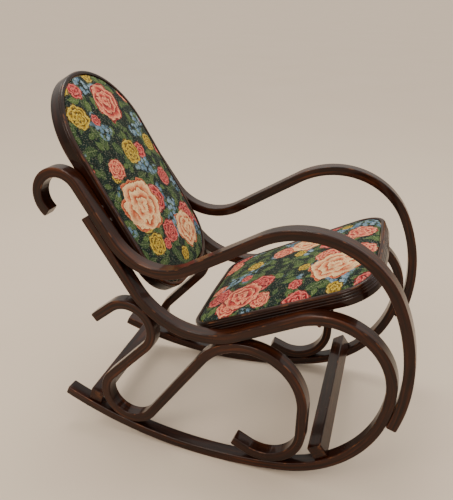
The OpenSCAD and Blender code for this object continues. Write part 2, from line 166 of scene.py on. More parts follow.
class Finish:
    """A finish that makes one material the first time it is asked for."""

    name = "finish"

    def material(self) -> bpy.types.Material:
        """Makes the material, or finds it if it was made before.

        Returns:
            The material.
        """
        found = bpy.data.materials.get(self.name)
        if found:
            return found
        made = bpy.data.materials.new(self.name)
        made.use_nodes = True
        tree = Tree(made.node_tree)
        shader = tree.add("BsdfPrincipled")
        output = tree.add("OutputMaterial")
        made.node_tree.links.new(shader.outputs[0], output.inputs[0])
        self.wire(tree, shader)
        return made

    def wire(self, tree: Tree, shader: bpy.types.Node) -> None:
        """Wires the shader's inputs. Each finish has its own."""
        raise NotImplementedError

    @staticmethod
    def link(tree: Tree, shader: bpy.types.Node, **sockets: bpy.types.NodeSocket) -> None:
        """Links sockets to the shader's inputs, whose names have underscores for spaces."""
        for name, socket in sockets.items():
            tree.tree.links.new(socket, shader.inputs[name.replace("_", " ")])

    @staticmethod
    def fix(shader: bpy.types.Node, **values: object) -> None:
        """Sets constants on the shader's own sockets."""
        for name, value in values.items():
            shader.inputs[name.replace("_", " ")].default_value = value

    @staticmethod
    def weave(tree: Tree, cloth: bpy.types.NodeSocket, along: float, across: float) -> bpy.types.NodeSocket:
        """Wires crossing threads.

        Args:
            tree: The material's tree.
            cloth: The cloth's coordinates, in metres.
            along: The pitch of the threads along x.
            across: The pitch of the threads along y.

        Returns:
            The height of the threads, from -1 to 1.
        """
        split = tree.add("SeparateXYZ", {0: cloth})
        waves = [tree.math("SINE", tree.math("MULTIPLY", split.outputs[axis], math.tau / pitch))
                 for axis, pitch in ((1, across), (0, along))]
        return tree.math("MULTIPLY", *waves)

    def dress(self, piece: bpy.types.Object) -> None:
        """Gives a piece this finish in all its slots."""
        piece.data.materials.clear()
        piece.data.materials.append(self.material())


class WoodCut(Enum):
    """Where a wooden piece's grain coordinates come from."""

    ALONG_PIECE = "grain"
    OBJECT = "object"


@dataclass(frozen=True)
class WalnutLacquer(Finish):
    """Dark walnut stain under gloss lacquer, with a grain that follows each bend."""

    cut: WoodCut = WoodCut.ALONG_PIECE
    veneer: float = 3.1 * MM
    dark: str = "0a0301"
    middle: str = "2a0f04"
    light: str = "64300f"
    worn: str = "85502a"

    @property
    def name(self) -> str:
        """The material's name, one for each kind of grain."""
        return f"walnut_lacquer_{self.cut.name.lower()}"

    def wire(self, tree: Tree, shader: bpy.types.Node) -> None:
        """Wires grain, veneer lines, worn edges and the lacquer.

        Args:
            tree: The material's tree.
            shader: Its shader.
        """
        if self.cut is WoodCut.ALONG_PIECE:
            place = tree.add("Attribute", attribute_name="grain").outputs["Vector"]
            edge = tree.add("Attribute", attribute_name="edge").outputs["Fac"]
        else:
            place = tree.add("TexCoord").outputs["Object"]
            edge = tree.math("MULTIPLY", 0.0, 0.0)
        split = tree.add("SeparateXYZ", {0: place})
        sway = tree.noise(tree.scaled(place, 5, 30, 30), 1.0)
        swayed = tree.vector("ADD", tree.scaled(place, 4, 150, 110), tree.scaled(tree.add(
            "CombineXYZ", {0: 0.0, 1: sway, 2: sway}).outputs[0], 0, 3.5, 3.5))
        figure = tree.noise(swayed, 1.0, 4.0)
        pores = tree.noise(tree.scaled(place, 70, 1500, 1300), 1.0, 2.0)
        cloud = tree.noise(place, 7.0)
        layers = tree.math("DIVIDE", split.outputs[1], self.veneer)
        layer = tree.add("TexWhiteNoise", {"W": tree.math("FLOOR", layers)},
                         noise_dimensions="1D").outputs[0]
        tone = tree.math("MULTIPLY_ADD", figure, 0.8, tree.math("MULTIPLY", layer, 0.1))
        tone = tree.math("MULTIPLY_ADD", cloud, 0.35, tree.math("SUBTRACT", tone, 0.12))
        colour = tree.ramp(tone, [(0.28, rgb(self.dark)), (0.56, rgb(self.middle)), (0.9, rgb(self.light))])
        pore = tree.step(pores, 0.36, 0.26)
        colour = tree.mix(tree.math("MULTIPLY", pore, 0.6), colour, rgb(self.dark))
        seam = tree.math("ABSOLUTE", tree.math("SUBTRACT", tree.math("FRACT", layers), 0.5))
        seam = tree.step(seam, 0.455, 0.495)
        colour = tree.mix(tree.math("MULTIPLY", seam, 0.35), colour, rgb(self.dark))
        rub = tree.step(tree.noise(place, 38.0, 4.0), 0.52, 0.66)
        wear = tree.math("MULTIPLY", tree.step(edge, 0.45, 1.0), rub)
        colour = tree.mix(tree.math("MULTIPLY", wear, 0.55), colour, rgb(self.worn))
        rough = tree.math("MULTIPLY_ADD", tree.noise(place, 24.0), 0.16, 0.22)
        rough = tree.math("MULTIPLY_ADD", wear, 0.15, rough)
        height = tree.math("MULTIPLY_ADD", pore, -0.5, tree.math("MULTIPLY", seam, -0.6))
        ripple = tree.math("MULTIPLY", tree.noise(tree.scaled(place, 9, 45, 45), 1.0), 2.0)
        normal = tree.bump(tree.math("ADD", height, ripple), strength=0.22, distance=0.5 * MM)
        self.link(tree, shader, Base_Color=colour, Roughness=rough, Normal=normal)
        self.fix(shader, Coat_Weight=0.4, Coat_Roughness=0.07, Coat_IOR=1.45, Specular_IOR_Level=0.12)


class Bloom(Enum):
    """The kinds of flower in the tapestry, each with dark, middle, light and tip colours."""

    PEACH = ("7c1a14", "c8603c", "e8a070", "f4d59c")
    CRIMSON = ("48060f", "8a1620", "b62c36", "e07f72")
    CORAL = ("6c101c", "ac3034", "d2604e", "f0a880")
    GOLD = ("332404", "6e530c", "a5831c", "d8bc4a")


@dataclass(frozen=True)
class Rose:
    """One large rose of the tapestry, at a place on its panel, in metres."""

    x: float
    y: float
    radius: float
    turn: float
    bloom: Bloom = Bloom.PEACH


@dataclass(frozen=True)
class FloralTapestry(Finish):
    """A woven floral on dark green: scattered flowers, leaves and sprigs, and a few large roses."""

    title: str = "tapestry"
    shift: tuple[float, float, float] = (0.0, 0.0, 0.0)
    roses: tuple[Rose, ...] = ()
    warp_pitch: float = 0.9 * MM
    weft_pitch: float = 1.1 * MM

    @property
    def name(self) -> str:
        """The material's name."""
        return self.title

    def flower_group(self) -> bpy.types.NodeTree:
        """Makes the node group that shapes one flower from a place relative to its middle.

        Returns:
            A group with inputs Place, Rings, Petals and Ragged, and outputs Mask and Tone.
        """
        found = bpy.data.node_groups.get("flower")
        if found:
            return found
        group = bpy.data.node_groups.new("flower", "ShaderNodeTree")
        for label, kind in (("Place", "Vector"), ("Rings", "Float"), ("Petals", "Float"),
                            ("Ragged", "Float")):
            group.interface.new_socket(label, in_out="INPUT", socket_type="NodeSocket" + kind)
        for label in ("Mask", "Tone"):
            group.interface.new_socket(label, in_out="OUTPUT", socket_type="NodeSocketFloat")
        tree = Tree(group)
        given = tree.add("NodeGroupInput").outputs
        wobble = tree.add("TexNoise", {"Vector": given[0], "Scale": 2.3, "Detail": 3.0}).outputs[1]
        wobble = tree.vector("SUBTRACT", wobble, (0.5, 0.5, 0.5))
        strength = tree.add("CombineXYZ", {0: given[3], 1: given[3], 2: 0.0}).outputs[0]
        place = tree.vector("MULTIPLY_ADD", wobble, strength, given[0])
        split = tree.add("SeparateXYZ", {0: place})
        radius = tree.math("SQRT", tree.math("MULTIPLY_ADD", split.outputs[0], split.outputs[0],
                                            tree.math("MULTIPLY", split.outputs[1], split.outputs[1])))
        angle = tree.math("DIVIDE", tree.math("ARCTAN2", split.outputs[1], split.outputs[0]), math.tau)
        depth = tree.math("MULTIPLY", radius, given[1])
        ring = tree.math("FLOOR", depth)
        for _ in range(2):
            count = tree.math("FLOOR", tree.math("ADD", ring, given[2]))
            along = tree.math("MULTIPLY_ADD", angle, count, tree.math("MULTIPLY", ring, 0.37))
            across = tree.math("ABSOLUTE", tree.math("SUBTRACT", tree.math("FRACT", along), 0.5))
            bulge = tree.math("MULTIPLY", tree.math("MULTIPLY", across, across), 2.6)
            level = tree.math("ADD", depth, bulge)
            ring = tree.math("FLOOR", level)
        tone = tree.math("FRACT", level)
        mask = tree.math("LESS_THAN", level, tree.math("ADD", given[1], 0.35))
        out = tree.add("NodeGroupOutput")
        group.links.new(mask, out.inputs[0])
        group.links.new(tone, out.inputs[1])
        return group

    def scatter(self, tree: Tree, place: object, scale: float, randomness: float) -> tuple:
        """Scatters cells over the cloth.

        Args:
            tree: The material's tree.
            place: The cloth's coordinates.
            scale: Cells in a metre.
            randomness: How far the cells leave a square grid, from 0 to 1.

        Returns:
            The place relative to each cell's middle, turned at random, and two random numbers of the cell.
        """
        cell = tree.add("TexVoronoi", {"Vector": place, "Scale": scale, "Randomness": randomness},
                        voronoi_dimensions="2D", feature="F1")
        chance = tree.add("SeparateColor", {0: cell.outputs["Color"]}).outputs
        local = tree.vector("SUBTRACT", place, cell.outputs["Position"])
        local = tree.vector("MULTIPLY", local, (1.0, 1.0, 0.0))
        angle = tree.math("MULTIPLY", chance[0], math.tau)
        turned = tree.add("VectorRotate", {"Vector": local, "Angle": angle}, rotation_type="Z_AXIS")
        return turned.outputs[0], chance[1], chance[2]

    def sized(self, tree: Tree, local: object, growth: object, size: float) -> bpy.types.NodeSocket:
        """Measures a place in sizes of its own leaf or flower.

        Args:
            tree: The material's tree.
            local: The place relative to its middle, in metres.
            growth: How far it has grown, where 1 is the usual size.
            size: The usual size.

        Returns:
            The place, where a distance of 1 is its size.
        """
        grown = tree.math("MULTIPLY", growth, size)
        return tree.vector("DIVIDE", local, tree.add("CombineXYZ", {0: grown, 1: grown, 2: 1.0}).outputs[0])

    def petals(self, tree: Tree, local: object, rings: float, count: float, ragged: float) -> tuple:
        """Uses the flower group.

        Args:
            tree: The material's tree.
            local: The place relative to the flower's middle, in radii.
            rings: Rings of petals.
            count: Petals in the first ring.
            ragged: How uneven the petals are.

        Returns:
            Its mask and its petals' tone.
        """
        node = tree.add("Group", node_tree=self.flower_group())
        tree.tree.links.new(local, node.inputs[0])
        for socket, value in ((1, rings), (2, count), (3, ragged)):
            node.inputs[socket].default_value = value
        return node.outputs[0], node.outputs[1]

    def painted(self, tree: Tree, bloom: Bloom, tone: object, heart: object) -> bpy.types.NodeSocket:
        """Colours a flower by its petals' tone, darker near its heart.

        Args:
            tree: The material's tree.
            bloom: The kind of flower.
            tone: The petals' tone, from 0 to 1.
            heart: The nearness to the heart, from 0 to 1.

        Returns:
            The colour.
        """
        dark, middle, light, tip = (rgb(code) for code in bloom.value)
        start = 0.0 if bloom is Bloom.PEACH else 0.1
        colour = tree.ramp(tone, [(start, dark), (start + 0.22, middle), (start + 0.5, light), (0.96, tip)])
        return tree.mix(heart, colour, dark)

    def leaves(self, tree: Tree, under: object, place: object, scale: float, size: float,
               shades: tuple[str, str]) -> bpy.types.NodeSocket:
        """Lays a scatter of veined leaves over a colour.

        Args:
            tree: The material's tree.
            under: The colour below.
            place: The cloth's coordinates.
            scale: Cells in a metre.
            size: Half the length of a leaf.
            shades: Its dark and light greens.

        Returns:
            The colour with the leaves.
        """
        local, pick, growth = self.scatter(tree, place, scale, randomness=0.95)
        local = self.sized(tree, local, tree.math("MULTIPLY_ADD", growth, 0.5, 0.7), size)
        ripple = tree.add("TexNoise", {"Vector": local, "Scale": 4.0}).outputs[1]
        ripple = tree.vector("SUBTRACT", ripple, (0.5, 0.5, 0.5))
        local = tree.vector("ADD", local, tree.scaled(ripple, 0.3, 0.3, 0))
        split = tree.add("SeparateXYZ", {0: local})
        length, side = split.outputs[0], tree.math("ABSOLUTE", split.outputs[1])
        taper = tree.math("SUBTRACT", 1.0, tree.math("MULTIPLY", length, length))
        lean = tree.math("MULTIPLY_ADD", length, -0.3, 0.5)
        inside = tree.math("SUBTRACT", tree.math("MULTIPLY", taper, lean), side)
        mask = tree.math("GREATER_THAN", inside, 0.0)
        slant = tree.math("MULTIPLY", side, -34.0)
        veins = tree.math("SINE", tree.math("MULTIPLY_ADD", length, 26.0, slant))
        vein = tree.math("MAXIMUM", tree.step(veins, 0.55, 0.95), tree.step(side, 0.07, 0.02))
        shade = tree.mix(tree.math("MULTIPLY_ADD", pick, 0.7, tree.math("MULTIPLY", side, 0.6)),
                         rgb(shades[0]), rgb(shades[1]))
        shade = tree.mix(tree.math("MULTIPLY", vein, 0.4), shade, rgb("8fa36c"))
        shade = tree.mix(tree.step(inside, 0.09, 0.01), shade, rgb(shades[0]))
        return tree.mix(mask, under, shade)

    def sprigs(self, tree: Tree, under: object, place: object) -> bpy.types.NodeSocket:
        """Lays clusters of small pale blue flowers over a colour.

        Args:
            tree: The material's tree.
            under: The colour below.
            place: The cloth's coordinates.

        Returns:
            The colour with the flowers.
        """
        local, pick, _ = self.scatter(tree, place, scale=66.0, randomness=0.8)
        mask, tone = self.petals(tree, tree.scaled(local, 170.0, 170.0, 0.0), rings=1.0, count=5.0, ragged=0.2)
        group = tree.step(tree.noise(tree.vector("ADD", place, (3.1, 1.7, 0.0)), 11.0, 1.0), 0.56, 0.6)
        mask = tree.math("MULTIPLY", mask, group)
        blue = tree.mix(pick, rgb("4a6e88"), rgb("8fa9b8"))
        colour = tree.mix(tree.step(tone, 0.35, 0.05), blue, rgb("51708a"))
        eye = tree.step(tree.vector("DISTANCE", local, (0, 0, 0)), 0.0016, 0.0009)
        return tree.mix(mask, under, tree.mix(eye, colour, rgb("e7dca0")))

    def blooms(self, tree: Tree, under: object, place: object, scale: float, size: float,
               rings: float, kinds: tuple[Bloom, Bloom, Bloom]) -> bpy.types.NodeSocket:
        """Lays a scatter of flowers of three kinds over a colour.

        Args:
            tree: The material's tree.
            under: The colour below.
            place: The cloth's coordinates.
            scale: Cells in a metre.
            size: Radius of a flower.
            rings: Rings of petals.
            kinds: The kinds of flower, chosen at random cell by cell.

        Returns:
            The colour with the flowers.
        """
        local, pick, growth = self.scatter(tree, place, scale, randomness=0.62)
        local = self.sized(tree, local, tree.math("MULTIPLY_ADD", growth, 0.45, 0.72), size)
        mask, tone = self.petals(tree, local, rings, count=4.0, ragged=0.62)
        heart = tree.step(tree.vector("LENGTH", local), 0.3, 0.05)
        heart = tree.math("MULTIPLY", heart, 0.55)
        colour = self.painted(tree, kinds[0], tone, heart)
        for kind, share in ((kinds[1], 0.42), (kinds[2], 0.72)):
            chosen = tree.math("GREATER_THAN", pick, share)
            colour = tree.mix(chosen, colour, self.painted(tree, kind, tone, heart))
        return tree.mix(mask, under, colour)

    def rose(self, tree: Tree, under: object, place: object, rose: Rose) -> bpy.types.NodeSocket:
        """Lays one large rose, with a deep red heart, over a colour.

        Args:
            tree: The material's tree.
            under: The colour below.
            place: The cloth's coordinates.
            rose: The rose and its place.

        Returns:
            The colour with the rose.
        """
        local = tree.vector("SUBTRACT", place, (rose.x, rose.y, 0.0))
        local = tree.add("VectorRotate", {"Vector": local, "Angle": rose.turn},
                         rotation_type="Z_AXIS").outputs[0]
        local = tree.scaled(local, 1 / rose.radius, 1 / rose.radius, 0.0)
        mask, tone = self.petals(tree, local, rings=3.0, count=3.0, ragged=0.6)
        heart = tree.step(tree.vector("DISTANCE", local, (0.16, -0.1, 0.0)), 0.46, 0.12)
        blush = tree.step(tree.noise(local, 1.7, 2.0), 0.5, 0.72)
        heart = tree.math("MAXIMUM", tree.math("MULTIPLY", heart, 0.8), tree.math("MULTIPLY", blush, 0.35))
        return tree.mix(mask, under, self.painted(tree, rose.bloom, tone, heart))

    def wire(self, tree: Tree, shader: bpy.types.Node) -> None:
        """Wires ground, leaves, sprigs, flowers, roses, brushed shading and the weave.

        Args:
            tree: The material's tree.
            shader: Its shader.
        """
        cloth = tree.add("UVMap", uv_map="cloth").outputs[0]
        place = tree.vector("ADD", cloth, self.shift)
        ground = tree.ramp(tree.noise(place, 60.0), [(0.35, rgb("0a1814")), (0.65, rgb("142b25"))])
        colour = self.leaves(tree, ground, place, scale=21.0, size=0.023, shades=("12291a", "2c4a26"))
        moved = tree.vector("ADD", place, (0.71, 0.33, 0.0))
        colour = self.leaves(tree, colour, moved, scale=25.0, size=0.019, shades=("1b361f", "4e652f"))
        colour = self.sprigs(tree, colour, place)
        small = tree.vector("ADD", place, (1.9, 0.8, 0.0))
        colour = self.blooms(tree, colour, small, scale=8.2, size=0.02, rings=2.0,
                             kinds=(Bloom.GOLD, Bloom.CORAL, Bloom.CRIMSON))
        colour = self.blooms(tree, colour, place, scale=8.0, size=0.033, rings=3.0,
                             kinds=(Bloom.CRIMSON, Bloom.GOLD, Bloom.CORAL))
        for rose in self.roses:
            colour = self.rose(tree, colour, cloth, rose)
        strokes = tree.noise(tree.scaled(place, 420, 160, 0), 1.0, 3.0)
        colour = tree.mix(tree.step(strokes, 0.52, 0.74), colour, tree.mix(0.22, colour, rgb("f3e6c8")))
        colour = tree.mix(tree.step(strokes, 0.46, 0.3), colour, tree.mix(0.5, colour, rgb("10201a")))
        weave = self.weave(tree, cloth, self.weft_pitch, self.warp_pitch)
        colour = tree.mix(tree.math("MULTIPLY_ADD", weave, 0.09, 0.09), colour, rgb("0c1512"))
        slub = tree.noise(tree.scaled(cloth, 90, 700, 0), 1.0)
        normal = tree.bump(tree.math("MULTIPLY_ADD", slub, 0.8, weave), strength=0.35, distance=0.4 * MM)
        self.link(tree, shader, Base_Color=colour, Normal=normal)
        self.fix(shader, Roughness=0.85, Specular_IOR_Level=0.12, Sheen_Weight=0.03, Sheen_Roughness=0.5)


@dataclass(frozen=True)
class PlainCloth(Finish):
    """A plain woven lining cloth."""

    name: str = "lining_cloth"
    dark: str = "14110f"
    light: str = "453d35"
    thread: float = 1.4 * MM

    def wire(self, tree: Tree, shader: bpy.types.Node) -> None:
        """Wires a plain weave with uneven threads.

        Args:
            tree: The material's tree.
            shader: Its shader.
        """
        place = tree.add("UVMap", uv_map="cloth").outputs[0]
        weave = self.weave(tree, place, self.thread, self.thread)
        slub = tree.noise(tree.scaled(place, 60, 800, 0), 1.0)
        tone = tree.math("MULTIPLY_ADD", weave, 0.12, tree.math("MULTIPLY", slub, 0.6))
        colour = tree.mix(tone, rgb(self.dark), rgb(self.light))
        normal = tree.bump(weave, strength=0.4, distance=0.4 * MM)
        self.link(tree, shader, Base_Color=colour, Normal=normal)
        self.fix(shader, Roughness=0.9, Specular_IOR_Level=0.2)


@dataclass(frozen=True)
class RawPlywood(Finish):
    """Raw birch plywood."""

    name: str = "plywood"

    def wire(self, tree: Tree, shader: bpy.types.Node) -> None:
        """Wires a pale rotary-cut figure.

        Args:
            tree: The material's tree.
            shader: Its shader.
        """
        place = tree.add("TexCoord").outputs["Object"]
        figure = tree.noise(tree.scaled(place, 6, 40, 40), 1.0, 4.0)
        colour = tree.ramp(figure, [(0.3, rgb("9b7446")), (0.7, rgb("c9a673"))])
        fibres = tree.noise(tree.scaled(place, 60, 900, 900), 1.0)
        normal = tree.bump(fibres, strength=0.2, distance=0.3 * MM)
        self.link(tree, shader, Base_Color=colour, Normal=normal)
        self.fix(shader, Roughness=0.75)


@dataclass(frozen=True)
class ZincSteel(Finish):
    """Zinc-plated steel, dulled by handling."""

    name: str = "zinc_steel"

    def wire(self, tree: Tree, shader: bpy.types.Node) -> None:
        """Wires a dull, spotted plating.

        Args:
            tree: The material's tree.
            shader: Its shader.
        """
        place = tree.add("TexCoord").outputs["Object"]
        spots = tree.noise(place, 420.0, 4.0)
        colour = tree.ramp(spots, [(0.35, rgb("5a564e")), (0.65, rgb("9c978b"))])
        rough = tree.math("MULTIPLY_ADD", spots, 0.3, 0.25)
        normal = tree.bump(spots, strength=0.15, distance=0.2 * MM)
        self.link(tree, shader, Base_Color=colour, Roughness=rough, Normal=normal)
        self.fix(shader, Metallic=1.0)


@dataclass(frozen=True)
class StudioPaper(Finish):
    """Pale warm paper under the chair."""

    name: str = "studio_paper"
    shade: str = "d6c6b4"

    def wire(self, tree: Tree, shader: bpy.types.Node) -> None:
        """Wires an almost even matt surface.

        Args:
            tree: The material's tree.
            shader: Its shader.
        """
        place = tree.add("TexCoord").outputs["Object"]
        soft = tree.noise(place, 1.3)
        self.link(tree, shader, Base_Color=tree.mix(soft, rgb(self.shade), rgb("d1c0ad")))
        self.fix(shader, Roughness=0.95, Specular_IOR_Level=0.1)


# ---------------------------------------------------------------- meshes
def loft(name: str, rings: np.ndarray, grain: np.ndarray, edge: np.ndarray,
         closed: bool = False, length: float = 0.0) -> bpy.types.Object:
    """Skins a row of rings, each a closed loop of the same number of points.

    Args:
        name: The piece's name.
        rings: Points, as rings by points by three.
        grain: Grain coordinates of the same shape.
        edge: How near each point of a ring is to a corner, from 0 to 1.
        closed: Whether the last ring joins the first.
        length: The grain's length once round, where closed.

    Returns:
        The object, with attributes grain and edge.
    """
    count, width = rings.shape[:2]
    turns = count if closed else count - 1
    faces, corners = [], []
    for i in range(turns):
        j = (i + 1) % count
        step = length if j < i else 0.0
        for k in range(width):
            n = (k + 1) % width
            faces.append((i * width + k, j * width + k, j * width + n, i * width + n))
            for ring, point, extra in ((i, k, 0.0), (j, k, step), (j, n, step), (i, n, 0.0)):
                corners.append((grain[ring, point, 0] + extra, *grain[ring, point, 1:]))
    if not closed:
        for i, order in ((0, range(width)), (count - 1, range(width - 1, -1, -1))):
            faces.append(tuple(i * width + k for k in order))
            corners += [tuple(grain[i, k]) for k in order]
    mesh = bpy.data.meshes.new(name)
    mesh.from_pydata(rings.reshape(-1, 3).tolist(), [], faces)
    mesh.attributes.new("grain", "FLOAT_VECTOR", "CORNER").data.foreach_set(
        "vector", np.array(corners, np.float32).ravel())
    mesh.attributes.new("edge", "FLOAT", "POINT").data.foreach_set(
        "value", np.tile(edge, count).astype(np.float32))
    return smoothed(name, mesh)


def smoothed(name: str, mesh: bpy.types.Mesh) -> bpy.types.Object:
    """Makes an object of a mesh, with outward normals that keep its flats flat.

    Args:
        name: The object's name.
        mesh: Its mesh.

    Returns:
        The object.
    """
    work = bmesh.new()
    work.from_mesh(mesh)
    bmesh.ops.recalc_face_normals(work, faces=work.faces)
    work.to_mesh(mesh)
    work.free()
    mesh.shade_smooth()
    piece = bpy.data.objects.new(name, mesh)
    bpy.context.scene.collection.objects.link(piece)
    piece.modifiers.new("flat_faces", "WEIGHTED_NORMAL").keep_sharp = True
    return piece


def baked(piece: bpy.types.Object) -> bpy.types.Mesh:
    """Returns a new mesh of a piece with its modifiers applied."""
    graph = bpy.context.evaluated_depsgraph_get()
    return bpy.data.meshes.new_from_object(piece.evaluated_get(graph), depsgraph=graph)


def bake(piece: bpy.types.Object) -> None:
    """Applies a piece's modifiers."""
    piece.data = baked(piece)
    piece.modifiers.clear()


def map_cloth(mesh: bpy.types.Mesh) -> None:
    """Lays the cloth's coordinates on a mesh, from its own x and y.

    Args:
        mesh: The mesh, still flat in its panel's coordinates.
    """
    flat = np.array([v.co for v in mesh.vertices], np.float32)[:, :2]
    corners = np.zeros(len(mesh.loops), np.int32)
    mesh.loops.foreach_get("vertex_index", corners)
    mesh.uv_layers.new(name="cloth").data.foreach_set("uv", flat[corners].ravel())
    mesh.shade_smooth()


def rounded_box(half_x: float, half_y: float, radius: float,
                steps: int = 4) -> tuple[np.ndarray, np.ndarray]:
    """A rectangle with round corners.

    Args:
        half_x: Half its first side.
        half_y: Half its second side.
        radius: Radius of its corners.
        steps: Steps round a corner.

    Returns:
        Its points, and how near each is to a corner, from 0 to 1.
    """
    points, near = [], []
    for quarter, (sx, sy) in enumerate(((1, 1), (-1, 1), (-1, -1), (1, -1))):
        for k in range(steps + 1):
            angle = math.pi / 2 * (quarter + k / steps)
            points.append((sx * (half_x - radius) + radius * math.cos(angle),
                           sy * (half_y - radius) + radius * math.sin(angle)))
            near.append(math.sin(math.pi * k / steps) if 0 < k < steps else 0.25)
    return np.array(points), np.array(near)


def eased_ends(ease: float) -> tuple[tuple[float, float], ...]:
    """How far in an eased end is, as (distance from the end, inset)."""
    return ((0.0, 0.6 * ease), (0.3 * ease, 0.2 * ease), (ease, 0.0))


def finish_piece(piece: bpy.types.Object, finish: Finish, slot: str, *nodes: str) -> bpy.types.Object:
    """Dresses a piece, seats it on the chair's body and lets it stand for CAD nodes.

    Args:
        piece: The piece.
        finish: Its finish.
        slot: The name of its material slot; not used.
        nodes: The CAD nodes that it stands for.

    Returns:
        The piece.
    """
    finish.dress(piece)
    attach(piece, "root")
    if nodes:
        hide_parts(*nodes)
    log.info("%s: %d faces", piece.name, len(piece.data.polygons))
    return piece


# ---------------------------------------------------------------- bent strips
@dataclass(frozen=True)
class Former:
    """A round former that a strip is bent over: its middle, its bend and its turn, +1 to the left."""

    u: float
    h: float
    radius: float
    turn: int

    @property
    def middle(self) -> np.ndarray:
        """The former's middle."""
        return np.array([self.u, self.h])

    def at(self, heading: float) -> np.ndarray:
        """The point of the strip where it runs in a direction."""
        return self.middle - self.turn * self.radius * np.array([-math.sin(heading), math.cos(heading)])


def ray(angle: float) -> np.ndarray:
    """The unit vector in a direction, in radians."""
    return np.array([math.cos(angle), math.sin(angle)])


def run_between(first: Former, second: Former) -> float:
    """The direction of the straight run from one former to the next.

    Args:
        first: The former that the run leaves.
        second: The former that it reaches.

    Returns:
        The direction, in radians.
    """
    gap = second.middle - first.middle
    lean = (second.turn * second.radius - first.turn * first.radius) / np.linalg.norm(gap)
    return math.atan2(gap[1], gap[0]) - math.asin(max(-1.0, min(1.0, lean)))


@dataclass
class Strip:
    """A laminated strip bent round its formers, with straight ends."""

    formers: Sequence[Former]
    start: float
    end: float
    lead: float = 0.0
    tail: float = 0.0
    spacing: float = 5 * MM

    def line(self) -> tuple[np.ndarray, np.ndarray, np.ndarray]:
        """Walks along the strip.

        Returns:
            Its points, its directions and its lengths so far.
        """
        runs = (run_between(a, b) for a, b in zip(self.formers, self.formers[1:]))
        headings = [self.start, *runs, self.end]
        points, turns = [], []

        def straight(start: np.ndarray, finish: np.ndarray, heading: float) -> None:
            """Adds the points of a straight run, without its last.

            Args:
                start: Where the run starts.
                finish: Where it ends.
                heading: Its direction, in radians.
            """
            count = max(1, round(float(np.linalg.norm(finish - start)) / (3 * self.spacing)))
            for k in range(count):
                points.append(start + (finish - start) * k / count)
                turns.append(heading)

        if self.lead:
            first = self.formers[0].at(self.start)
            straight(first - self.lead * ray(self.start), first, self.start)
        for i, former in enumerate(self.formers):
            sweep = (former.turn * (headings[i + 1] - headings[i])) % math.tau
            count = max(1, round(sweep * former.radius / self.spacing))
            for k in range(count):
                heading = headings[i] + former.turn * sweep * k / count
                points.append(former.at(heading))
                turns.append(heading)
            last = former.at(headings[i + 1])
            if i + 1 < len(self.formers):
                following = self.formers[i + 1].at(headings[i + 1])
                if np.linalg.norm(following - last) > MM:
                    straight(last, following, headings[i + 1])
            elif self.tail:
                straight(last, last + self.tail * ray(self.end), self.end)
                points.append(last + self.tail * ray(self.end))
                turns.append(self.end)
            else:
                points.append(last)
                turns.append(self.end)
        points = np.array(points)
        lengths = np.concatenate([[0.0], np.cumsum(np.linalg.norm(np.diff(points, axis=0), axis=1))])
        return points, np.array(turns), lengths


